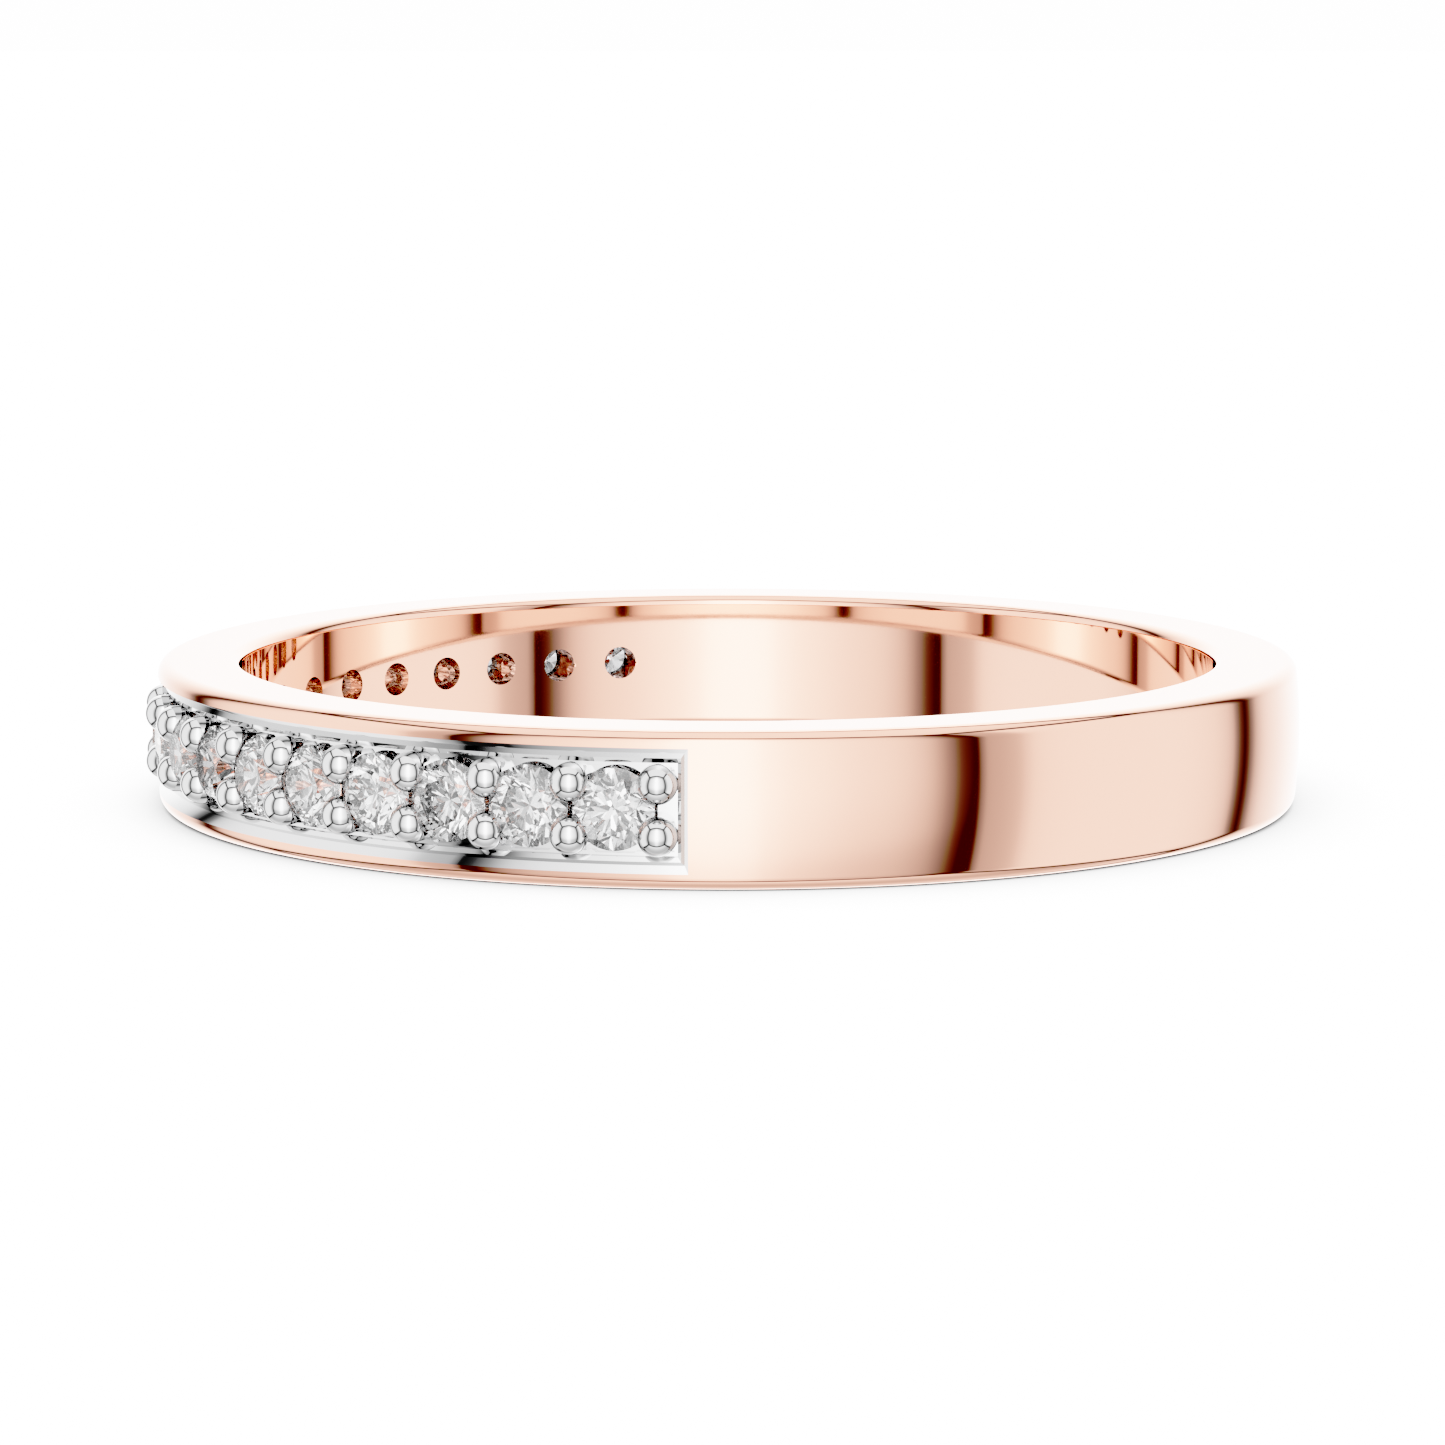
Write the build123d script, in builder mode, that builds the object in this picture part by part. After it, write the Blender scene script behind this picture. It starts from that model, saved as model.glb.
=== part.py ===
from build123d import *
from math import cos, radians, sin, tan
import os

# Half-eternity wedding band. Millimetres and degrees.
# The origin is the middle of the finger hole, halfway across the band. +Z runs along the finger, and the
# middle of the row of stones faces -X. "Level" is a distance out from the finger hole's axis, "reach" is a
# distance to either side of the band's mid-plane, and "inset" is a distance in from the setting's outline.

# Shank
finger_radius = 8.675  # a 17.35 mm finger hole
shank_radius = 10.2  # at the top of the crown
band_width = 2.58
crown_radius = 9.5  # the outer wall bulges this gently across the band
outer_rounding = 0.24
inner_rounding = 0.18

# Row of stones
stone_count = 20
stone_pitch = 8.183
row_middle = 180.0  # the direction that the middle stones face
stone_radius = 0.675
girdle_level = 10.01

# Setting: a tray with a stepped frame round it, let into the shank
tray_reach = 1.017
tray_half_turn = 84.7
tray_underside = 9.45
groove_level = 9.91
crest_level = 10.01
land_level = 9.975
ledge_level = 9.92
floor_level = 9.83
groove_inset = 0.105
crest_inset = 0.175
land_inset = 0.25
ledge_inset = 0.26
floor_inset = 0.327
end_narrowing = 0.70  # the frame's steps are this much narrower across the tray's two ends
cutter_level = 10.4  # clear outside everything

# Hollow under each stone
light_hole_radius = 0.31
notch_width = 0.66
notch_reach = 0.72
notch_rounding = 0.05

# Brilliant cut, as fractions of the stone's radius
table_size = 0.57
crown_angle = 37.0
pavilion_angle = 40.75
star_length = 0.52
lower_half_length = 0.77
girdle_thickness = 0.06
main_facets = 8

# Prongs: a round post with a domed head, in pairs between the stones
prong_radius = 0.33
prong_spread = 0.42
prong_head_level = 10.06
prong_foot_level = 9.55
stone_clearance = 0.012
seat_slack = 0.018  # how far the seat's cone stands clear of the pavilion

# The stone's own sizes. Heights are up or down from the middle of its girdle.
half_girdle = girdle_thickness * stone_radius / 2
half_sector = 180 / main_facets  # between a main facet and the star beside it
crown_slope = tan(radians(crown_angle))
pavilion_slope = tan(radians(pavilion_angle))
table_corner = table_size * stone_radius
table_height = half_girdle + (stone_radius - table_corner) * crown_slope
table_edge = table_corner * cos(radians(half_sector))
star_tip = table_edge + star_length * (stone_radius - table_edge)
star_height = half_girdle + (stone_radius - star_tip * cos(radians(half_sector))) * crown_slope
lower_tip = (1 - lower_half_length) * stone_radius
lower_height = half_girdle + (stone_radius - lower_tip * cos(radians(half_sector))) * pavilion_slope
culet_height = half_girdle + stone_radius * pavilion_slope

stone_angles = [row_middle + (i - (stone_count - 1) / 2) * stone_pitch for i in range(stone_count)]
prong_angles = [row_middle + (i - stone_count / 2) * stone_pitch for i in range(stone_count + 1)]


def station(angle, level):
    """The plane square to the radius at this angle: x along the row, y along the finger, z outwards."""
    outwards = (cos(radians(angle)), sin(radians(angle)), 0)
    along_row = (-sin(radians(angle)), cos(radians(angle)), 0)
    return Plane([level * part for part in outwards], x_dir=along_row, z_dir=outwards)


def crown_level(reach):
    """How far out the shank's crowned wall stands at this distance from its mid-plane."""
    return shank_radius - crown_radius + (crown_radius**2 - reach**2) ** 0.5


def section(angle):
    """The plane that holds the finger hole's axis at this angle: x outwards, y along the finger."""
    outwards = (cos(radians(angle)), sin(radians(angle)), 0)
    across = (sin(radians(angle)), -cos(radians(angle)), 0)
    return Plane((0, 0, 0), x_dir=outwards, z_dir=across)


def curved_block(corners, end_foot=None, end_top=None):
    """A closed profile of (level, reach) corners, turned through the tray's arc.

    end_foot and end_top, each an inset and a level, slope the two end walls between them.
    """
    end_turn = tray_half_turn / 3  # the stretch that holds the sloping end wall
    with BuildPart() as block:
        for start, turn in ((tray_half_turn - end_turn, end_turn), (0, tray_half_turn - end_turn)):
            with BuildSketch(section(start)):
                with BuildLine():
                    Polyline(*corners, close=True)
                make_face()
            revolve(axis=Axis.Z, revolution_arc=turn)
            if end_foot and start > 0:
                foot_inset, foot_level = end_foot
                top_inset, top_level = end_top
                end = station(tray_half_turn, 0)
                foot = end.from_local_coords(Vector(-foot_inset, 0, foot_level))
                top = end.from_local_coords(Vector(-top_inset, 0, top_level))
                split(bisect_by=Plane(foot, x_dir=top - foot, z_dir=(top - foot).cross(Vector(0, 0, 1))))
        mirror(about=Plane.XZ)
    return block.part.rotate(Axis.Z, row_middle)


def tray_step(foot_inset, foot_level, top_inset, top_level):
    """One step of the frame's inside as a solid: its side walls and end walls slope from foot to top."""
    foot_reach = tray_reach - foot_inset
    top_reach = tray_reach - top_inset
    right_side = [(foot_level, foot_reach), (top_level, top_reach)]
    left_side = [(top_level, -top_reach), (foot_level, -foot_reach)]
    return curved_block(
        right_side + left_side,
        end_foot=(foot_inset * end_narrowing, foot_level),
        end_top=(top_inset * end_narrowing, top_level),
    )


# ---------------------------------------------------------------- shank
with BuildPart() as shank:
    with BuildSketch(Plane.XZ):
        half_width = band_width / 2
        with BuildLine():
            edge_level = crown_level(half_width)
            wall = ThreePointArc((edge_level, -half_width), (shank_radius, 0), (edge_level, half_width))
            Polyline(wall @ 1, (finger_radius, half_width), (finger_radius, -half_width), wall @ 0)
        ring_section = make_face()
        fillet(ring_section.vertices().group_by(Axis.X)[-1], outer_rounding)
        fillet(vertices().group_by(Axis.X)[0], inner_rounding)
    revolve(axis=Axis.Z)
    tray_bed = [
        (tray_underside, -tray_reach),
        (tray_underside, tray_reach),
        (cutter_level, tray_reach),
        (cutter_level, -tray_reach),
    ]
    add(curved_block(tray_bed), mode=Mode.SUBTRACT)
    with Locations(*[station(angle, shank_radius) for angle in stone_angles]):
        Hole(light_hole_radius, depth=2 * (shank_radius - finger_radius))
shank.part.label = "shank"

# ---------------------------------------------------------------- setting
# The cutter for the hollow under a stone, with z=0 at the middle of the stone's girdle.
with BuildPart() as seat_cutter:
    with BuildSketch(Plane.XZ):
        with BuildLine():
            seat_top = ledge_level - girdle_level
            seat_foot = -half_girdle - (stone_radius - light_hole_radius) * pavilion_slope
            Polyline(
                (0, seat_top),
                (stone_radius + (seat_top + half_girdle) / pavilion_slope + seat_slack, seat_top),
                (light_hole_radius, seat_foot - seat_slack * pavilion_slope),
                (light_hole_radius, finger_radius - girdle_level),
                (0, finger_radius - girdle_level),
                close=True,
            )
        make_face()
    revolve(axis=Axis.Z)

surface_level = crown_level(tray_reach)

with BuildPart() as tray_blank:
    with BuildSketch(Plane.XZ):
        with BuildLine():
            wall = ThreePointArc((surface_level, -tray_reach), (shank_radius, 0), (surface_level, tray_reach))
            Polyline(wall @ 1, (tray_underside, tray_reach), (tray_underside, -tray_reach), wall @ 0)
        make_face()
    revolve(axis=Axis.Z, revolution_arc=tray_half_turn)
    mirror(about=Plane.XZ)

with BuildPart() as setting:
    add(tray_blank.part.rotate(Axis.Z, row_middle))
    # from the outline inwards: bevel and groove, rib, land, the rib's inner wall, and the floor in its ledge
    bevel_slope = groove_inset / (surface_level - groove_level)
    bevel_top = -bevel_slope * (cutter_level - surface_level)
    add(tray_step(groove_inset, groove_level, bevel_top, cutter_level), mode=Mode.SUBTRACT)
    add(tray_step(groove_inset, groove_level, crest_inset, crest_level))
    add(tray_step(land_inset, land_level, crest_inset, crest_level), mode=Mode.SUBTRACT)
    add(tray_step(ledge_inset, ledge_level, land_inset, land_level), mode=Mode.SUBTRACT)
    add(tray_step(floor_inset, floor_level, floor_inset, ledge_level), mode=Mode.SUBTRACT)
    # a notch in the ledge beside each stone
    with BuildSketch(*[station(angle, floor_level) for angle in stone_angles]):
        RectangleRounded(notch_width, 2 * notch_reach, notch_rounding)
    extrude(amount=ledge_level - floor_level + stone_clearance, mode=Mode.SUBTRACT)
    # a blind hole for each prong, drilled down past the frame
    for angle in prong_angles:
        with BuildSketch(station(angle, prong_foot_level)):
            with Locations((0, prong_spread), (0, -prong_spread)):
                Circle(prong_radius)
        extrude(amount=cutter_level - prong_foot_level, mode=Mode.SUBTRACT)
    # a conical seat with a light hole under each stone
    with Locations(*[station(angle, girdle_level) for angle in stone_angles]):
        add(seat_cutter.part, mode=Mode.SUBTRACT)
setting.part.label = "setting"

# ---------------------------------------------------------------- brilliant-cut stone
def facet(azimuth, near, far):
    """Cut one facet, square to this azimuth, through two (distance out, height) points."""
    run = far[0] - near[0]
    rise = far[1] - near[1]
    upwards = 1 if near[1] > 0 else -1
    normal = Vector(-rise * upwards, 0, run * upwards).rotate(Axis.Z, azimuth)
    point = Vector(far[0], 0, far[1]).rotate(Axis.Z, azimuth)
    split(bisect_by=Plane(point, z_dir=normal), keep=Keep.BOTTOM)


with BuildPart() as brilliant:
    with Locations((0, 0, -culet_height)):
        Cylinder(stone_radius, table_height + culet_height, align=(Align.CENTER, Align.CENTER, Align.MIN))
    quarter = half_sector / 2
    chord = stone_radius * cos(radians(quarter))
    star_reach = star_tip * cos(radians(quarter))
    lower_reach = lower_tip * cos(radians(quarter))
    for main in range(main_facets):
        azimuth = 2 * half_sector * main
        facet(azimuth, (table_corner, table_height), (stone_radius, half_girdle))
        facet(azimuth, (0, -culet_height), (stone_radius, -half_girdle))
        facet(azimuth + half_sector, (table_edge, table_height), (star_tip, star_height))
        for side in (quarter, -quarter):
            facet(azimuth + side, (star_reach, star_height), (chord, half_girdle))
            facet(azimuth + side, (lower_reach, -lower_height), (chord, -half_girdle))

# The cutter that notches a prong for its stones: the stone's own outline with a little room round it.
with BuildPart() as stone_cutter:
    with BuildSketch(Plane.XZ):
        with BuildLine():
            Polyline(
                (0, -culet_height - stone_clearance),
                (lower_tip, -lower_height - stone_clearance),
                (stone_radius + stone_clearance, -half_girdle - stone_clearance),
                (stone_radius + stone_clearance, half_girdle + stone_clearance),
                (star_tip, star_height + stone_clearance),
                (table_corner, table_height + stone_clearance),
                (0, table_height + stone_clearance),
                close=True,
            )
        make_face()
    revolve(axis=Axis.Z)


def diamond(number, angle):
    with BuildPart() as stone:
        with Locations(station(angle, girdle_level)):
            add(brilliant.part)
    stone.part.label = f"diamond_{number:02d}"
    return stone.part


def prong_pair(number, angle):
    """Two posts with domed heads, notched for the girdle of the stone on each side."""
    neighbours = [other for other in stone_angles if abs(other - angle) < stone_pitch]
    with BuildPart() as pair:
        with BuildSketch(station(angle, prong_foot_level)):
            with Locations((0, prong_spread), (0, -prong_spread)):
                Circle(prong_radius)
        extrude(amount=prong_head_level - prong_foot_level)
        with Locations(station(angle, prong_head_level)):
            with Locations((0, prong_spread, 0), (0, -prong_spread, 0)):
                Sphere(prong_radius)
        with Locations(*[station(other, girdle_level) for other in neighbours]):
            add(stone_cutter.part, mode=Mode.SUBTRACT)
    pair.part.label = f"prong_pair_{number:02d}"
    return pair.part


diamonds = [diamond(i + 1, angle) for i, angle in enumerate(stone_angles)]
prong_pairs = [prong_pair(i + 1, angle) for i, angle in enumerate(prong_angles)]

# ---------------------------------------------------------------- files
os.makedirs("parts", exist_ok=True)
for piece in [shank.part, setting.part, *diamonds, *prong_pairs]:
    export_step(piece, f"parts/{piece.label}.step")
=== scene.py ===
from math import asin, cos, degrees, exp, log, pi, radians, sin, sqrt, tan

import bpy
from mathutils import Matrix, Vector


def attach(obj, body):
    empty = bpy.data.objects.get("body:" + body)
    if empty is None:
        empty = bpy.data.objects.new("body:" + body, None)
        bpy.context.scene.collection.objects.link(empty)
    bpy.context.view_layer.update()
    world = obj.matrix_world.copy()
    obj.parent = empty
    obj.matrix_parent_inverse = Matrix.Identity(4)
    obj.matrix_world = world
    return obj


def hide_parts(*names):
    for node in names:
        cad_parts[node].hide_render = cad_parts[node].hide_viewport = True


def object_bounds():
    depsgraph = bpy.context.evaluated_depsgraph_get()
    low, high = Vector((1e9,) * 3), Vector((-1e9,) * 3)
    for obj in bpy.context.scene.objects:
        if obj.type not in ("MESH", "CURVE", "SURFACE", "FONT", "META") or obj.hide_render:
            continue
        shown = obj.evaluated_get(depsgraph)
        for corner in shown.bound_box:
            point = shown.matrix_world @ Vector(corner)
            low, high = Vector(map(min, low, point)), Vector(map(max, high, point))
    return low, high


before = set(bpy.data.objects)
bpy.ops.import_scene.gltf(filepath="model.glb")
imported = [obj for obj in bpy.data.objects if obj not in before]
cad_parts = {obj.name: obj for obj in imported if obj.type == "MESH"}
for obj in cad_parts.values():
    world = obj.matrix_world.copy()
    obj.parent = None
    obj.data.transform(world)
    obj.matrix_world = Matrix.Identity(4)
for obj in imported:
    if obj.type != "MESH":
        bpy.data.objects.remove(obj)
cad_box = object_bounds()
MM = 0.001

# ------------------------------------------------------------------ sizes, in millimetres and degrees
# The band's axis is Z and the middle of the stone row faces -X. A level is a distance out from the axis,
# a reach is a distance to either side of the band's mid-plane, and an angle is counted from the row's middle.
ROW_MIDDLE = 180.0
SHANK_RADIUS = 10.2
FINGER_RADIUS = 8.675
HALF_WIDTH = 1.29
CROWN_RADIUS = 9.5
OUTER_ROUNDING = 0.24
INNER_ROUNDING = 0.18

STONE_COUNT = 20
PITCH = 8.183
STONE_RADIUS = 0.675
GIRDLE_LEVEL = 10.01
LIGHT_HOLE_RADIUS = 0.31

# the brilliant cut: sizes as fractions of the stone's radius, slopes as rise over run
TABLE_SIZE = 0.57
CROWN_SLOPE = tan(radians(37.0))
PAVILION_SLOPE = tan(radians(40.75))
STAR_LENGTH = 0.518
LOWER_HALF_LENGTH = 0.77
GIRDLE_THICKNESS = 0.06

TRAY_REACH = 1.017
TRAY_HALF_TURN = 84.7
TRAY_UNDERSIDE = 9.45
FLOOR_LEVEL = 9.83
LEDGE_LEVEL = 9.92
FLOOR_INSET = 0.327
END_NARROWING = 0.70
FRAME_STEPS = (  # (inset from the outline, level) from the bevel's foot to the rib's inner foot
    (0.105, 9.91),
    (0.175, 10.01),
    (0.25, 9.975),
    (0.26, LEDGE_LEVEL),
)
# how much of its slope the bevel is shaded with, along the sides and across the ends
BEVEL_SIDE_LEAN = 0.12
BEVEL_END_LEAN = 0.045
NOTCH_HALF_WIDTH = 0.33
NOTCH_DEPTH = 0.03
NOTCH_ROUNDING = 0.03

PRONG_RADIUS = 0.3295  # 0.0005 less than in the CAD model, so that the beads stay inside its box
PRONG_SPREAD = 0.42
PRONG_HEAD_LEVEL = 10.06
PRONG_FOOT_LEVEL = 9.55

STONE_CLEARANCE = 0.012  # round the stone, where a prong is notched for it
SEAT_SLACK = 0.018  # how much wider than the pavilion the seat's cone is
HALF_GIRDLE = GIRDLE_THICKNESS * STONE_RADIUS / 2
SEAT_DEPTH = GIRDLE_LEVEL - HALF_GIRDLE - FLOOR_LEVEL  # how far the floor is under the girdle
SEAT_RADIUS = round(STONE_RADIUS + SEAT_SLACK - SEAT_DEPTH / PAVILION_SLOPE, 3)

ROW_END = PITCH * STONE_COUNT / 2
STONE_ANGLES = [(i - (STONE_COUNT - 1) / 2) * PITCH for i in range(STONE_COUNT)]
PRONG_ANGLES = [(i - STONE_COUNT / 2) * PITCH for i in range(STONE_COUNT + 1)]


def stone_outline():
    """A stone's outline with a little room round it: (radius, height over the girdle) up to the table."""
    sector = cos(radians(22.5))  # from a facet's corner to the middle of its edge
    table_corner = TABLE_SIZE * STONE_RADIUS
    table_edge = table_corner * sector
    star_tip = table_edge + STAR_LENGTH * (STONE_RADIUS - table_edge)
    lower_tip = (1 - LOWER_HALF_LENGTH) * STONE_RADIUS
    girdle = HALF_GIRDLE + STONE_CLEARANCE
    table_height = girdle + (STONE_RADIUS - table_corner) * CROWN_SLOPE
    outline = [
        (0, -girdle - STONE_RADIUS * PAVILION_SLOPE),
        (lower_tip, -girdle - (STONE_RADIUS - lower_tip * sector) * PAVILION_SLOPE),
        (STONE_RADIUS + STONE_CLEARANCE, -girdle),
        (STONE_RADIUS + STONE_CLEARANCE, girdle),
        (star_tip, girdle + (STONE_RADIUS - star_tip * sector) * CROWN_SLOPE),
        (table_corner, table_height),
        (0, table_height),
    ]
    return [(round(radius, 3), round(height, 3)) for radius, height in outline]


def crown_level(reach):
    return SHANK_RADIUS - CROWN_RADIUS + sqrt(CROWN_RADIUS**2 - reach**2)


def outwards(angle):
    turn = radians(ROW_MIDDLE + angle)
    return Vector((cos(turn), sin(turn), 0))


def along_row(angle):
    turn = radians(ROW_MIDDLE + angle)
    return Vector((-sin(turn), cos(turn), 0))


def ring_point(level, angle, z):
    return outwards(angle) * level + Vector((0, 0, z))


# ------------------------------------------------------------------ meshes with exact normals
class Skin:
    """Collects faces given in millimetres, each corner with its own normal, and makes one mesh of them."""

    def __init__(self):
        self.points = []
        self.numbers = {}
        self.faces = []
        self.normals = []

    def number(self, point):
        key = tuple(round(value, 5) for value in point)
        if key not in self.numbers:
            self.numbers[key] = len(self.points)
            self.points.append(point * MM)
        return self.numbers[key]

    def face(self, corners):
        """corners are (point, normal) pairs, either way round. Corners that fall together are merged."""
        kept = []
        for point, normal in corners:
            number = self.number(point)
            if number not in [other for other, _ in kept]:
                kept.append((number, normal))
        if len(kept) < 3:
            return
        ring = [self.points[number] for number, _ in kept]
        facing = sum((a.cross(b) for a, b in zip(ring, ring[1:] + ring[:1])), Vector())
        if facing.dot(sum((normal for _, normal in kept), Vector())) < 0:
            kept.reverse()
        self.faces.append([number for number, _ in kept])
        self.normals.extend(normal for _, normal in kept)

    def ladder(self, first, second):
        """Faces between two rows of (point, normal) pairs."""
        for a, b, c, d in zip(first, first[1:], second[1:], second):
            self.face([a, b, c, d])

    def sheet(self, rows):
        for first, second in zip(rows, rows[1:]):
            self.ladder(first, second)

    def piece(self, name, material):
        mesh = bpy.data.meshes.new(name)
        mesh.from_pydata(self.points, [], self.faces)
        for polygon in mesh.polygons:
            polygon.use_smooth = True
        mesh.normals_split_custom_set([normal.normalized() for normal in self.normals])
        mesh.materials.append(material)
        piece = bpy.data.objects.new(name, mesh)
        bpy.context.scene.collection.objects.link(piece)
        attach(piece, "root")
        return piece


def lathe_rows(profile, angles):
    """Rows of a turned surface. profile holds (level, z, normal's outward part, normal's z part)."""
    return [
        [(ring_point(level, angle, z), outwards(angle) * out + Vector((0, 0, up))) for angle in angles]
        for level, z, out, up in profile
    ]


# ------------------------------------------------------------------ columns and rows that the pieces share
END_COLUMNS = 3  # between the last prongs and the tray's end
SIDE_SHARES = [i / 8 for i in range(-8, 9)]  # shares of the reach, from one side to the other
HOLE_SHARES = (0, 0.12, 0.35, 0.65, 1)  # shares of the way from a hole's rim to its stone's stretch
NOTCH_SIDE = (  # the notch's rounded corner: shares of its rounding across, and of its depth
    (1.0, 0.0),
    (0.3, 0.12),
    (-0.3, 0.88),
    (-1.0, 1.0),
)


def cell_offsets():
    """Where the columns stand across one stone's stretch, in mm from its middle at the floor's level."""
    half = FLOOR_LEVEL * radians(PITCH / 2)
    corner = [NOTCH_HALF_WIDTH + NOTCH_ROUNDING * share for share, _ in NOTCH_SIDE]
    outer = [half + (corner[0] - half) * i / 3 for i in range(3)]
    inner = [corner[-1] * (1 - i / 4) for i in range(1, 4)]
    right = outer + corner + inner
    return [-x for x in right] + [0.0] + right[::-1]


def notch_share(offset):
    """How much of the notch's depth the ledge is cut back by, at this offset from a stone's middle."""
    for share, depth in NOTCH_SIDE:
        if abs(offset) > NOTCH_HALF_WIDTH + NOTCH_ROUNDING * (share - 0.01):
            return depth
    return 1.0


def columns(half_turn):
    """The angles of every column, from one end of the tray to the other."""
    ends = [ROW_END + (half_turn - ROW_END) * i / END_COLUMNS for i in range(1, END_COLUMNS + 1)]
    middle = [-ROW_END]
    for stone in STONE_ANGLES:
        middle += [stone + degrees(x / FLOOR_LEVEL) for x in cell_offsets()[1:]]
    return [-angle for angle in reversed(ends)] + middle + ends


def cell_border(reach, notch=0.0):
    """The outline of one stone's stretch, as (x, z) pairs in mm, once round from its lower right corner."""
    offsets = cell_offsets()
    right = [(offsets[-1], reach * share) for share in SIDE_SHARES]
    top = [(x, reach + notch * notch_share(x)) for x in offsets[::-1]]
    left = [(-x, -z) for x, z in right]
    bottom = [(-x, -z) for x, z in top]
    return right[:-1] + top[:-1] + left[:-1] + bottom


RIM = [Vector(point).normalized() for point in cell_border(FLOOR_LEVEL * radians(PITCH / 2))]


def drilled_strip(skin, level, reach, hole_radius, facing, half_turn, notch=0.0):
    """A strip of the tray's arc at one level, with a round hole for each stone."""

    def corner(angle, z):
        return ring_point(level, angle, z), outwards(angle) * facing

    for stone in STONE_ANGLES:
        rows = []
        for share in HOLE_SHARES:
            row = []
            for rim, (x, z) in zip(RIM, cell_border(reach, notch)):
                rim_angle = degrees(asin(rim.x * hole_radius / level))
                rim_z = rim.y * hole_radius
                angle = rim_angle + (degrees(x / FLOOR_LEVEL) - rim_angle) * share
                row.append(corner(stone + angle, rim_z + (z - rim_z) * share))
            rows.append(row)
        skin.sheet(rows)
    angles = columns(half_turn)
    for end in (angles[: END_COLUMNS + 1], angles[-END_COLUMNS - 1 :]):
        skin.sheet([[corner(angle, reach * share) for angle in end] for share in SIDE_SHARES])


def hole_walls(skin, steps):
    """The wall of every stone's hole, from one (radius, level, curved) step to the next.

    A curved step's rim lies in the band's own curved surface of that level. Any other is square to the hole.
    """
    for stone in STONE_ANGLES:
        out, along = outwards(stone), along_row(stone)
        for first, second in zip(steps, steps[1:]):
            rise, run = second[1] - first[1], second[0] - first[0]
            across, lean = (-rise, run) if rise > 0 else (rise, -run)
            rows = []
            for radius, level, curved in (first, second):
                row = []
                for rim in RIM:
                    lateral = rim.x * radius
                    height = sqrt(level * level - lateral * lateral) if curved else level
                    point = out * height + along * lateral + Vector((0, 0, rim.y * radius))
                    normal = (along * rim.x + Vector((0, 0, rim.y))) * across + out * lean
                    row.append((point, normal))
                rows.append(row)
            skin.sheet(rows)


# ------------------------------------------------------------------ shank
PLAIN_COLUMNS = 190  # round the part without the tray
ROUNDING_STEPS = 10


def arc_profile(centre, radius, start, stop, steps):
    """(level, z, out, up) along an arc in the section, from one direction to another."""
    result = []
    for i in range(steps + 1):
        turn = radians(start + (stop - start) * i / steps)
        out, up = cos(turn), sin(turn)
        result.append((centre[0] + radius * out, centre[1] + radius * up, out, up))
    return result


def crown_profile(reaches):
    return [(crown_level(z), z, sqrt(1 - (z / CROWN_RADIUS) ** 2), z / CROWN_RADIUS) for z in reaches]


def shank_side():
    """The upper side's profile, from the tray's edge over the flat side to the inner wall."""
    # the outer rounding touches the crown from inside and the flat side from below
    z = HALF_WIDTH - OUTER_ROUNDING
    lean = degrees(asin(z / (CROWN_RADIUS - OUTER_ROUNDING)))
    level = SHANK_RADIUS - CROWN_RADIUS + (CROWN_RADIUS - OUTER_ROUNDING) * cos(radians(lean))
    edge = CROWN_RADIUS * sin(radians(lean))
    crown = crown_profile([TRAY_REACH + (edge - TRAY_REACH) * i / 3 for i in range(3)])
    outer = arc_profile((level, z), OUTER_ROUNDING, lean, 90, ROUNDING_STEPS)
    inner_centre = (FINGER_RADIUS + INNER_ROUNDING, HALF_WIDTH - INNER_ROUNDING)
    inner = arc_profile(inner_centre, INNER_ROUNDING, 90, 180, ROUNDING_STEPS)
    return crown + outer + inner


def flipped(profile):
    return [(level, -z, out, -up) for level, z, out, up in profile]


def shank_skin():
    skin = Skin()
    tray_angles = columns(TRAY_HALF_TURN)
    plain_turn = 360 - 2 * TRAY_HALF_TURN
    plain_angles = [TRAY_HALF_TURN + plain_turn * i / PLAIN_COLUMNS for i in range(PLAIN_COLUMNS + 1)]
    side = shank_side()
    inner_reach = side[-1][1]
    for profile in (side, flipped(side)):
        skin.sheet(lathe_rows(profile, tray_angles))
        skin.sheet(lathe_rows(profile, plain_angles))
    middle = crown_profile([TRAY_REACH * share for share in SIDE_SHARES])
    skin.sheet(lathe_rows(middle, plain_angles))
    inner = [(FINGER_RADIUS, inner_reach * share, -1, 0) for share in SIDE_SHARES]
    skin.sheet(lathe_rows(inner, plain_angles))
    # the tray's bed
    edge = crown_level(TRAY_REACH)
    for sign in (1, -1):
        wall = [(edge, TRAY_REACH * sign, 0, -sign), (TRAY_UNDERSIDE, TRAY_REACH * sign, 0, -sign)]
        skin.sheet(lathe_rows(wall, tray_angles))
        end = TRAY_HALF_TURN * sign
        facing = along_row(end) * -sign
        skin.ladder(
            [(ring_point(level, end, z), facing) for level, z, _, _ in middle],
            [(ring_point(TRAY_UNDERSIDE, end, z), facing) for _, z, _, _ in middle],
        )
    drilled_strip(skin, TRAY_UNDERSIDE, TRAY_REACH, LIGHT_HOLE_RADIUS, 1, TRAY_HALF_TURN)
    drilled_strip(skin, FINGER_RADIUS, inner_reach, LIGHT_HOLE_RADIUS, -1, TRAY_HALF_TURN)
    hole_walls(skin, [(LIGHT_HOLE_RADIUS, TRAY_UNDERSIDE, True), (LIGHT_HOLE_RADIUS, FINGER_RADIUS, True)])
    return skin


# ------------------------------------------------------------------ setting
def tray_step(inset, level):
    """One line round the frame: its level, its reach at the sides, and its half turn at the ends."""
    return level, TRAY_REACH - inset, TRAY_HALF_TURN - degrees(asin(inset * END_NARROWING / level))


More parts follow.
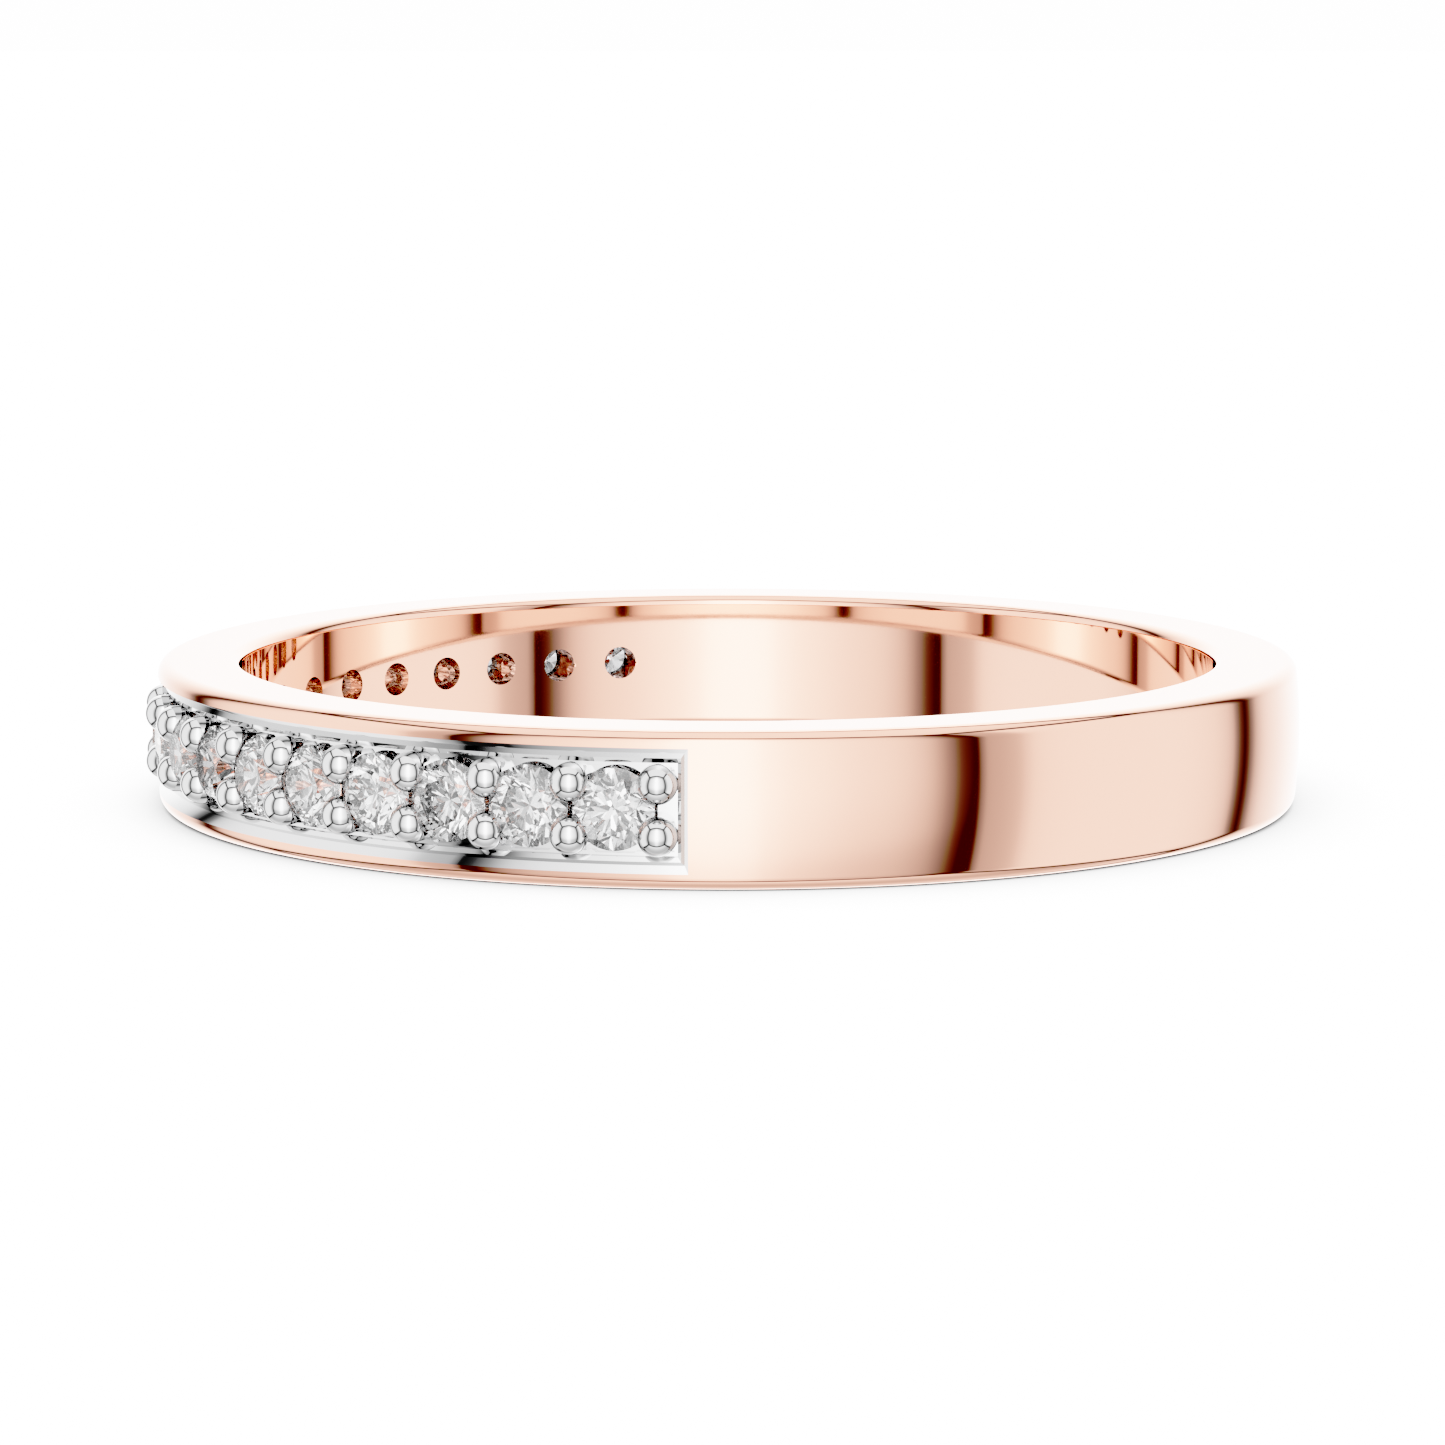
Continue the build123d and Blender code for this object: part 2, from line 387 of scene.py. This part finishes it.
def frame_band(skin, first, second, side_lean=1.0, end_lean=1.0):
    """The sloping band of the frame from one step inwards to the next, mitred at the corners.

    A lean under 1 shades the band as if its slope were that much less.
    """
    (level_a, reach_a, turn_a), (level_b, reach_b, turn_b) = first, second
    rise = level_b - level_a
    run, run_end = reach_a - reach_b, radians(turn_a - turn_b) * level_a
    for sign in (1, -1):
        lift = Vector((0, 0, rise * sign * side_lean))
        skin.ladder(
            [(ring_point(level_a, a, reach_a * sign), outwards(a) * run + lift) for a in columns(turn_a)],
            [(ring_point(level_b, b, reach_b * sign), outwards(b) * run + lift) for b in columns(turn_b)],
        )
        end = turn_a * sign
        facing = outwards(end) * run_end + along_row(end) * (rise * sign * end_lean)
        skin.ladder(
            [(ring_point(level_a, end, reach_a * share), facing) for share in SIDE_SHARES],
            [(ring_point(level_b, turn_b * sign, reach_b * share), facing) for share in SIDE_SHARES],
        )


def ledge(skin, ledge_step, floor_step):
    """The flat ledge inside the rib, with a notch beside each stone, and its wall down to the floor."""
    _, ledge_reach, ledge_turn = ledge_step
    _, floor_reach, floor_turn = floor_step
    notches = [NOTCH_DEPTH * notch_share(x) for x in cell_offsets()[1:]] * STONE_COUNT
    plain = [0.0] * END_COLUMNS
    reaches = [floor_reach + notch for notch in plain + [0.0] + notches + plain]
    inner, outer = columns(floor_turn), columns(ledge_turn)
    for sign in (1, -1):
        down = Vector((0, 0, -sign))
        edge = [(angle, reach * sign) for angle, reach in zip(inner, reaches)]
        skin.ladder(
            [(ring_point(LEDGE_LEVEL, angle, z), outwards(angle)) for angle, z in edge],
            [(ring_point(LEDGE_LEVEL, angle, ledge_reach * sign), outwards(angle)) for angle in outer],
        )
        skin.ladder(
            [(ring_point(LEDGE_LEVEL, angle, z), down) for angle, z in edge],
            [(ring_point(FLOOR_LEVEL, angle, z), down) for angle, z in edge],
        )
        end = floor_turn * sign
        facing = along_row(end) * -sign
        out = outwards(end)
        skin.ladder(
            [(ring_point(LEDGE_LEVEL, end, floor_reach * share), out) for share in SIDE_SHARES],
            [(ring_point(LEDGE_LEVEL, ledge_turn * sign, ledge_reach * share), out) for share in SIDE_SHARES],
        )
        skin.ladder(
            [(ring_point(LEDGE_LEVEL, end, floor_reach * share), facing) for share in SIDE_SHARES],
            [(ring_point(FLOOR_LEVEL, end, floor_reach * share), facing) for share in SIDE_SHARES],
        )


def setting_skin():
    skin = Skin()
    outline = (crown_level(TRAY_REACH), TRAY_REACH, TRAY_HALF_TURN)
    steps = [outline] + [tray_step(inset, level) for inset, level in FRAME_STEPS]
    frame_band(skin, steps[0], steps[1], BEVEL_SIDE_LEAN, BEVEL_END_LEAN)
    for first, second in zip(steps[1:], steps[2:]):
        frame_band(skin, first, second)
    floor_step = tray_step(FLOOR_INSET, FLOOR_LEVEL)
    ledge(skin, steps[-1], floor_step)
    drilled_strip(skin, FLOOR_LEVEL, floor_step[1], SEAT_RADIUS, 1, floor_step[2], NOTCH_DEPTH)
    neck_level = FLOOR_LEVEL - (SEAT_RADIUS - LIGHT_HOLE_RADIUS) * PAVILION_SLOPE
    seat = [(SEAT_RADIUS, FLOOR_LEVEL, True), (LIGHT_HOLE_RADIUS, neck_level, False)]
    hole_walls(skin, seat + [(LIGHT_HOLE_RADIUS, TRAY_UNDERSIDE, True)])
    # underside, sides and ends, which rest in the shank's bed
    drilled_strip(skin, TRAY_UNDERSIDE, TRAY_REACH, LIGHT_HOLE_RADIUS, -1, TRAY_HALF_TURN)
    for sign in (1, -1):
        side = [(outline[0], TRAY_REACH * sign, 0, sign), (TRAY_UNDERSIDE, TRAY_REACH * sign, 0, sign)]
        skin.sheet(lathe_rows(side, columns(TRAY_HALF_TURN)))
        end = TRAY_HALF_TURN * sign
        facing = along_row(end) * sign
        skin.ladder(
            [(ring_point(outline[0], end, TRAY_REACH * share), facing) for share in SIDE_SHARES],
            [(ring_point(TRAY_UNDERSIDE, end, TRAY_REACH * share), facing) for share in SIDE_SHARES],
        )
    return skin


# ------------------------------------------------------------------ prongs
PRONG_SIDES = 72
CUTTER_SIDES = 128
POST_LEVELS = (9.8, 9.93)  # rings in the post's mesh, between its foot and its head
DOME_STEP = 5
ROUND_WITHIN = 0.001  # a corner this near the post's or the head's surface is shaded as a part of it


def lathe_object(name, profile, steps):
    """A closed turned solid, in millimetres. profile's (radius, height) points start and end at the axis."""
    points, faces = [], []
    for radius, height in profile[1:-1]:
        turns = [2 * pi * i / steps for i in range(steps)]
        points += [(radius * cos(turn), radius * sin(turn), height) for turn in turns]
    rings = len(profile) - 2
    for ring in range(rings - 1):
        for i in range(steps):
            j = (i + 1) % steps
            low, high = ring * steps, (ring + 1) * steps
            faces.append((low + i, low + j, high + j, high + i))
    foot, top = len(points), len(points) + 1
    points += [(0, 0, profile[0][1]), (0, 0, profile[-1][1])]
    last = (rings - 1) * steps
    for i in range(steps):
        j = (i + 1) % steps
        faces.append((foot, j, i))
        faces.append((top, last + i, last + j))
    mesh = bpy.data.meshes.new(name)
    mesh.from_pydata(points, [], faces)
    lathe = bpy.data.objects.new(name, mesh)
    bpy.context.scene.collection.objects.link(lathe)
    return lathe


def prong_shape(sides):
    """One notched prong as a list of faces, each a list of (point, normal) pairs.

    Its own frame has x along the row, y along the finger and z outwards from the band's axis.
    sides holds -1 and 1 for the stones that it is notched for.
    """
    dome = [
        (PRONG_RADIUS * cos(radians(turn)), PRONG_HEAD_LEVEL + PRONG_RADIUS * sin(radians(turn)))
        for turn in range(0, 90, DOME_STEP)
    ]
    post = [(PRONG_RADIUS, level) for level in (PRONG_FOOT_LEVEL, *POST_LEVELS)]
    profile = [(0, PRONG_FOOT_LEVEL), *post, *dome, (0, PRONG_HEAD_LEVEL + PRONG_RADIUS)]
    prong = lathe_object("prong", profile, PRONG_SIDES)
    prong.location = (0, PRONG_SPREAD, 0)
    cutters = []
    for side in sides:
        cutter = lathe_object("stone_cutter", stone_outline(), CUTTER_SIDES)
        turn = Matrix.Rotation(radians(side * PITCH / 2), 4, "Y")
        cutter.matrix_world = turn @ Matrix.Translation((0, 0, GIRDLE_LEVEL))
        notch = prong.modifiers.new("notch", "BOOLEAN")
        notch.operation = "DIFFERENCE"
        notch.solver = "EXACT"
        notch.object = cutter
        cutters.append(cutter)
    bpy.context.view_layer.update()
    cut = prong.evaluated_get(bpy.context.evaluated_depsgraph_get()).to_mesh()
    head = Vector((0, PRONG_SPREAD, PRONG_HEAD_LEVEL))
    shape = []
    for polygon in cut.polygons:
        ring = [prong.matrix_world @ cut.vertices[i].co for i in polygon.vertices]
        spokes = [point - head for point in ring]
        level_spokes = [Vector((spoke.x, spoke.y, 0)) for spoke in spokes]
        if all(abs(spoke.length - PRONG_RADIUS) < ROUND_WITHIN for spoke in spokes):
            normals = spokes
        elif all(abs(spoke.length - PRONG_RADIUS) < ROUND_WITHIN for spoke in level_spokes):
            normals = level_spokes
        else:
            normals = [polygon.normal.copy()] * len(ring)
        shape.append(list(zip(ring, normals)))
    prong.to_mesh_clear()
    for thing in [prong, *cutters]:
        bpy.data.objects.remove(thing)
    return shape


def prong_skin(shape, angle):
    """A pair of prongs at this angle: the shape and its mirror image across the band's mid-plane."""
    skin = Skin()
    frame_axes = Matrix((along_row(angle), (0, 0, 1), outwards(angle))).transposed()
    for sign in (1, -1):
        flip = Vector((1, sign, 1))
        for ring in shape:
            skin.face([(frame_axes @ (point * flip), frame_axes @ (normal * flip)) for point, normal in ring])
    return skin


# ------------------------------------------------------------------ materials
def node(tree, kind, **values):
    made = tree.nodes.new(kind)
    for name, value in values.items():
        if hasattr(made, name):
            setattr(made, name, value)
        else:
            made.inputs[name.replace("_", " ")].default_value = value
    return made


def feed(tree, socket, value):
    """Set a socket to a number or a colour, or link another node's output to it."""
    if isinstance(value, (int, float)):
        socket.default_value = value
    elif isinstance(value, tuple):
        socket.default_value = (*value, 1)
    else:
        tree.links.new(value, socket)


def maths(tree, operation, first, second):
    made = node(tree, "ShaderNodeMath", operation=operation)
    feed(tree, made.inputs[0], first)
    feed(tree, made.inputs[1], second)
    return made.outputs[0]


def blend(tree, kind, share, first, second):
    """A step from the first value to the second. kind is FLOAT for numbers or RGBA for colours."""
    made = node(tree, "ShaderNodeMix", data_type=kind)
    feed(tree, made.inputs["Factor"], share)
    feed(tree, made.inputs["A"], first)
    feed(tree, made.inputs["B"], second)
    return made.outputs["Result"]


def noise(tree, scale, detail):
    """An uneven value from 0 to 1 over the object's own coordinates."""
    place = node(tree, "ShaderNodeTexCoord")
    made = node(tree, "ShaderNodeTexNoise", Scale=scale, Detail=detail)
    tree.links.new(place.outputs["Object"], made.inputs["Vector"])
    return made.outputs["Fac"]


def stretch(tree, source, **limits):
    """The source's From range, stretched to the To range and held inside it."""
    made = node(tree, "ShaderNodeMapRange", **limits)
    tree.links.new(source, made.inputs["Value"])
    return made.outputs["Result"]


def new_material(name):
    material = bpy.data.materials.new(name)
    material.use_nodes = True
    return material, material.node_tree


def polished_metal(name, tone, deep_tone, painted_reflection_tone=None):
    """Mirror-polished metal: a hardly visible drift of colour, and the uneven haze of a polishing wheel.

    Its last colour is painted where it is only seen in another piece of polished metal: a paler painted
    reflection, standing in for the brighter light of a second reflection.
    """
    material, tree = new_material(name)
    shader = tree.nodes["Principled BSDF"]
    shader.inputs["Metallic"].default_value = 1.0
    colour = blend(tree, "RGBA", noise(tree, scale=260.0, detail=2.0), tone, deep_tone)
    # painted reflection: a paler colour wherever the metal is seen in another polished piece
    if painted_reflection_tone:
        path = node(tree, "ShaderNodeLightPath")
        painted_reflection_share = maths(tree, "MINIMUM", path.outputs["Glossy Depth"], 1.0)
        colour = blend(tree, "RGBA", painted_reflection_share, colour, painted_reflection_tone)
    tree.links.new(colour, shader.inputs["Base Color"])
    haze = stretch(tree, noise(tree, scale=2400.0, detail=4.0), To_Min=0.018, To_Max=0.042)
    tree.links.new(haze, shader.inputs["Roughness"])
    return material


def diamond_material():
    """Clear stone, with only a trace of cloud in its colour."""
    material, tree = new_material("brilliant")
    shader = tree.nodes["Principled BSDF"]
    shader.inputs["Roughness"].default_value = 0.0
    shader.inputs["IOR"].default_value = 2.417
    shader.inputs["Transmission Weight"].default_value = 1.0
    cloud = noise(tree, scale=3000.0, detail=3.0)
    colour = blend(tree, "RGBA", cloud, (1.0, 1.0, 1.0), (0.97, 0.975, 0.985))
    tree.links.new(colour, shader.inputs["Base Color"])
    return material


# the rose gold's third colour is its painted, paler reflection in other polished metal
rose_gold = polished_metal("rose_gold_polish", (0.98, 0.54, 0.42), (0.965, 0.52, 0.40), (1.0, 0.8, 0.72))
white_gold = polished_metal("white_gold_polish", (0.66, 0.66, 0.66), (0.64, 0.64, 0.645))
brilliant = diamond_material()


# ------------------------------------------------------------------ the ring
def add_piece(skin, name, material, slot, *nodes):
    piece = skin.piece(name, material)
    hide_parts(*nodes)


add_piece(shank_skin(), "polished_shank", rose_gold, "rose_gold", "shank")
add_piece(setting_skin(), "polished_setting", white_gold, "white_gold", "setting")
shapes = [prong_shape((1,))] + [prong_shape((-1, 1))] * (STONE_COUNT - 1) + [prong_shape((-1,))]
for i, (shape, angle) in enumerate(zip(shapes, PRONG_ANGLES)):
    node_name = f"prong_pair_{i + 1:02d}"
    add_piece(prong_skin(shape, angle), f"beaded_{node_name}", white_gold, "white_gold", node_name)
for i in range(STONE_COUNT):
    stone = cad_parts[f"diamond_{i + 1:02d}"]
    stone.data.materials.clear()
    stone.data.materials.append(brilliant)


# ------------------------------------------------------------------ studio
CAMERA_TURN = -1.75  # from straight in front, towards the stones
CAMERA_TILT = 8.08
CAMERA_DISTANCE = 91.6
CAMERA_LENS = 127.2
CAMERA_SHIFT = (-0.0034, 0.0004)

# the room's walls, from the ring
ROOM_TURN = CAMERA_TURN - 2.8
FRONT = -500.0
BACK = 460.0
SIDE = 633.0
CEILING = 740.0
GROUND = -565.0

OPEN_WHITE = 6.0  # the light that is shown as pure white
BLACK_CUT = 0.1  # how far the tones are lowered, so that the darkest reflections are black
BACKDROP = OPEN_WHITE * 1.02  # the light behind the ring and of the floor, safely white
SEAM = 0.17  # the light that is left in the gaps between the walls
STONE_DIMMING = 0.48  # how much less of the walls' light there is through a stone
PATCH_SCALE = 9.0
SHADOW_REACH = 2.4  # how far from the ring the floor's painted shadow reaches
SHADOW_DEPTH = 1.45


def emission(tree, strength):
    light = node(tree, "ShaderNodeEmission")
    tree.links.new(strength, light.inputs["Strength"])
    return light.outputs["Emission"]


def finish_surface(tree, shader):
    output = node(tree, "ShaderNodeOutputMaterial")
    tree.links.new(shader, output.inputs["Surface"])


def curve(tree, source, points):
    """A smooth line through the (from, to) points, which both run from 0 to 1."""
    made = node(tree, "ShaderNodeFloatCurve")
    line = made.mapping.curves[0]
    for i, point in enumerate(points):
        knot = line.points[i] if i < 2 else line.points.new(*point)
        knot.location = point
    for knot in line.points:
        knot.handle_type = "AUTO_CLAMPED"
    made.mapping.update()
    tree.links.new(source, made.inputs["Value"])
    return made.outputs["Value"]


def wall_light(name, strength, across, upwards):
    """A glowing wall that fades towards its edges.

    Through a stone it is dimmer, because the stones would otherwise be nearly as white as the room.
    It also has light and dark patches there, so that each facet differs.
    """
    material, tree = new_material(name)
    tree.nodes.clear()
    place = node(tree, "ShaderNodeUVMap")
    split = node(tree, "ShaderNodeSeparateXYZ")
    tree.links.new(place.outputs["UV"], split.inputs["Vector"])
    fade_across = curve(tree, split.outputs["X"], across)
    fade_upwards = curve(tree, split.outputs["Y"], upwards)
    glow = maths(tree, "MULTIPLY", maths(tree, "MULTIPLY", fade_across, fade_upwards), strength)
    path = node(tree, "ShaderNodeLightPath")
    stone = maths(tree, "MINIMUM", path.outputs["Transmission Depth"], 1)
    dimming = maths(tree, "SUBTRACT", 1, maths(tree, "MULTIPLY", stone, STONE_DIMMING))
    uneven = noise(tree, scale=PATCH_SCALE, detail=1.0)
    patches = stretch(tree, uneven, From_Min=0.38, From_Max=0.62, To_Min=0.12, To_Max=1.75)
    glow = maths(tree, "MULTIPLY", glow, dimming)
    glow = maths(tree, "MULTIPLY", glow, blend(tree, "FLOAT", stone, 1.0, patches))
    finish_surface(tree, emission(tree, maths(tree, "MAXIMUM", glow, SEAM)))
    return material


def wall(name, ring, strength, across, upwards):
    """One wall of the room, seen only in reflections and through the stones."""
    mesh = bpy.data.meshes.new(name)
    mesh.from_pydata([Vector(corner) * MM for corner in ring], [], [(0, 1, 2, 3)])
    places = mesh.uv_layers.new(name="wall")
    for loop, place in zip(places.data, ((0, 0), (1, 0), (1, 1), (0, 1))):
        loop.uv = place
    mesh.materials.append(wall_light(name, strength, across, upwards))
    made = bpy.data.objects.new(name, mesh)
    bpy.context.scene.collection.objects.link(made)
    made.rotation_euler = (0, 0, radians(ROOM_TURN))
    made.visible_camera = False
    made.visible_diffuse = False
    made.visible_shadow = False


def mirrored(points):
    """A profile from the middle outwards, turned into one from edge to edge."""
    left = [(0.5 - place / 2, value) for place, value in reversed(points)]
    right = [(0.5 + place / 2, value) for place, value in points[1:]]
    return left + right


def upright(points):
    """A profile by height over the ring, as shares of the front wall's distance, made one up the wall."""
    return [((height * -FRONT - GROUND) / (CEILING - GROUND), value) for height, value in points]


def room_corners(*signs):
    """Corners of the room, each given as its side, depth and height: -1 or 1."""
    depths = {-1: FRONT, 1: BACK}
    heights = {-1: GROUND, 1: CEILING}
    return [(side * SIDE, depths[depth], heights[height]) for side, depth, height in signs]


def make_front_wall():
    """Brightest in the middle, with a long fall towards both sides and a dimmer foot and head."""
    middle = [(0, 1), (0.15, 0.78), (0.22, 0.67), (0.3, 0.6), (0.4, 0.53), (0.55, 0.46), (0.65, 0.38)]
    edge = [(0.71, 0.31), (0.77, 0.21), (0.83, 0.12), (0.91, 0.05), (1, 0.03)]
    foot = [(-1.13, 0), (-1.08, 0.01), (-1, 0.3), (-0.9, 0.46), (-0.8, 0.53), (-0.6, 0.58), (-0.45, 0.66)]
    head = [(-0.25, 0.9), (0, 1), (0.9, 1), (1.03, 0.78), (1.3, 0.5), (1.4, 0.12), (1.44, 0.01), (1.48, 0)]
    ring = room_corners((-1, -1, -1), (1, -1, -1), (1, -1, 1), (-1, -1, 1))
    wall("front_wall", ring, 5.0, mirrored(middle + edge), upright(foot + head))


def make_back_wall():
    across = [(0, 1), (0.3, 0.85), (0.53, 0.64), (0.68, 0.52), (0.8, 0.34), (0.94, 0.07), (1, 0.03)]
    foot = [(-1.13, 0), (-1.08, 0.02), (-1, 0.6), (-0.6, 1)]
    head = [(1.1, 1), (1.35, 0.5), (1.44, 0.02), (1.48, 0)]
    ring = room_corners((-1, 1, -1), (1, 1, -1), (1, 1, 1), (-1, 1, 1))
    wall("back_wall", ring, 4.3, mirrored(across), upright(foot + head))


def make_side_walls():
    """Each side wall starts sharply at the front and rises to an even light along its back half."""
    front = [(0, 0.04), (0.03, 0.3), (0.05, 0.42), (0.1, 0.48), (0.14, 0.55), (0.18, 0.74), (0.22, 0.9)]
    back = [(0.27, 0.96), (0.43, 1), (0.6, 1), (0.76, 0.92), (0.86, 0.74), (0.905, 0.54), (0.96, 0.13)]
    foot = [(-1.13, 0), (-1.07, 0.02), (-0.97, 0.7), (-0.7, 1)]
    head = [(1.1, 1), (1.33, 0.6), (1.42, 0.02), (1.48, 0)]
    for side, name in ((-1, "left_wall"), (1, "right_wall")):
        ring = room_corners((side, -1, -1), (side, 1, -1), (side, 1, 1), (side, -1, 1))
        wall(name, ring, 2.6, front + back + [(1, 0.05)], upright(foot + head))


def make_ceiling_and_ground():
    across = mirrored([(0, 1), (0.75, 0.9), (0.88, 0.7), (0.95, 0.05), (1, 0)])
    ceiling = [(0, 0), (0.04, 0.03), (0.08, 0.8), (0.14, 1), (0.86, 1), (0.92, 0.8), (0.97, 0.03), (1, 0)]
    ground = [(0, 0), (0.02, 0.02), (0.06, 0.8), (0.1, 1), (0.2, 0.9), (0.4, 0.62), (0.52, 0.55)]
    ground += [(0.7, 0.7), (0.93, 0.9), (1, 0.04)]
    for height, name, strength, along in ((1, "ceiling", 2.6, ceiling), (-1, "ground", 2.3, ground)):
        ring = room_corners((-1, -1, height), (1, -1, height), (1, 1, height), (-1, 1, height))
        wall(name, ring, strength, across, along)


def make_floor():
    """White, with only a close soft painted shadow under the ring: its glow is dimmed where the ring closes
    it in. It is clear from below.
    """
    reach = 1300 * MM
    height = cad_box[0].z
    mesh = bpy.data.meshes.new("floor")
    ends = [(-reach, -reach), (reach, -reach), (reach, reach), (-reach, reach)]
    mesh.from_pydata([(x, y, height) for x, y in ends], [], [(0, 1, 2, 3)])
    floor = bpy.data.objects.new("floor", mesh)
    bpy.context.scene.collection.objects.link(floor)
    material, tree = new_material("floor_white")
    tree.nodes.clear()
    shade = node(tree, "ShaderNodeAmbientOcclusion", samples=32, Distance=SHADOW_REACH * MM)
    openness = maths(tree, "POWER", shade.outputs["AO"], SHADOW_DEPTH)
    white = emission(tree, maths(tree, "MULTIPLY", openness, BACKDROP))
    clear = node(tree, "ShaderNodeBsdfTransparent")
    side = node(tree, "ShaderNodeNewGeometry")
    either = node(tree, "ShaderNodeMixShader")
    tree.links.new(side.outputs["Backfacing"], either.inputs["Fac"])
    tree.links.new(white, either.inputs[1])
    tree.links.new(clear.outputs["BSDF"], either.inputs[2])
    finish_surface(tree, either.outputs["Shader"])
    mesh.materials.append(material)
    floor.visible_diffuse = False
    floor.visible_glossy = False
    floor.visible_transmission = False
    floor.visible_shadow = False


def make_world():
    """White behind everything, and dark between the walls for the metal and the stones."""
    world = bpy.data.worlds.new("studio")
    bpy.context.scene.world = world
    world.use_nodes = True
    tree = world.node_tree
    tree.nodes.clear()
    path = node(tree, "ShaderNodeLightPath")
    background = node(tree, "ShaderNodeBackground")
    level = stretch(tree, path.outputs["Is Camera Ray"], To_Min=SEAM, To_Max=BACKDROP)
    tree.links.new(level, background.inputs["Strength"])
    output = node(tree, "ShaderNodeOutputWorld")
    tree.links.new(background.outputs["Background"], output.inputs["Surface"])


def make_camera():
    data = bpy.data.cameras.new("camera")
    data.sensor_width = 36.0
    data.lens = CAMERA_LENS
    data.shift_x, data.shift_y = CAMERA_SHIFT
    data.clip_start = 0.005
    data.clip_end = 5.0
    camera = bpy.data.objects.new("camera", data)
    bpy.context.scene.collection.objects.link(camera)
    turn, tilt = radians(CAMERA_TURN), radians(CAMERA_TILT)
    back = Vector((sin(turn) * cos(tilt), -cos(turn) * cos(tilt), sin(tilt)))
    camera.location = back * CAMERA_DISTANCE * MM
    camera.rotation_euler = (-back).to_track_quat("-Z", "Y").to_euler()
    bpy.context.scene.camera = camera


def set_tones():
    """A soft shoulder for the bright metal and firm blacks, on each colour alike."""
    view = bpy.context.scene.view_settings
    view.view_transform = "Standard"
    view.use_curve_mapping = True
    mapping = view.curve_mapping
    mapping.white_level = (OPEN_WHITE, OPEN_WHITE, OPEN_WHITE)
    mapping.extend = "HORIZONTAL"
    line = mapping.curves[3]
    line.points[0].location = (0, 0)
    line.points[1].location = (1, 1)
    for light in (log(1 + BLACK_CUT), 0.2, 0.35, 0.6, 0.9, 1.3, 1.8, 2.5, 3.5, 4.6):
        line.points.new(light / OPEN_WHITE, max(0, (1 + BLACK_CUT) * (1 - exp(-light)) - BLACK_CUT))
    mapping.update()


def set_bounces():
    """Enough for light to find its way out of a stone and through the finger hole."""
    cycles = bpy.context.scene.cycles
    cycles.max_bounces = 32
    cycles.transmission_bounces = 32
    cycles.glossy_bounces = 12


make_front_wall()
make_back_wall()
make_side_walls()
make_ceiling_and_ground()
make_floor()
make_world()
make_camera()
set_tones()
set_bounces()
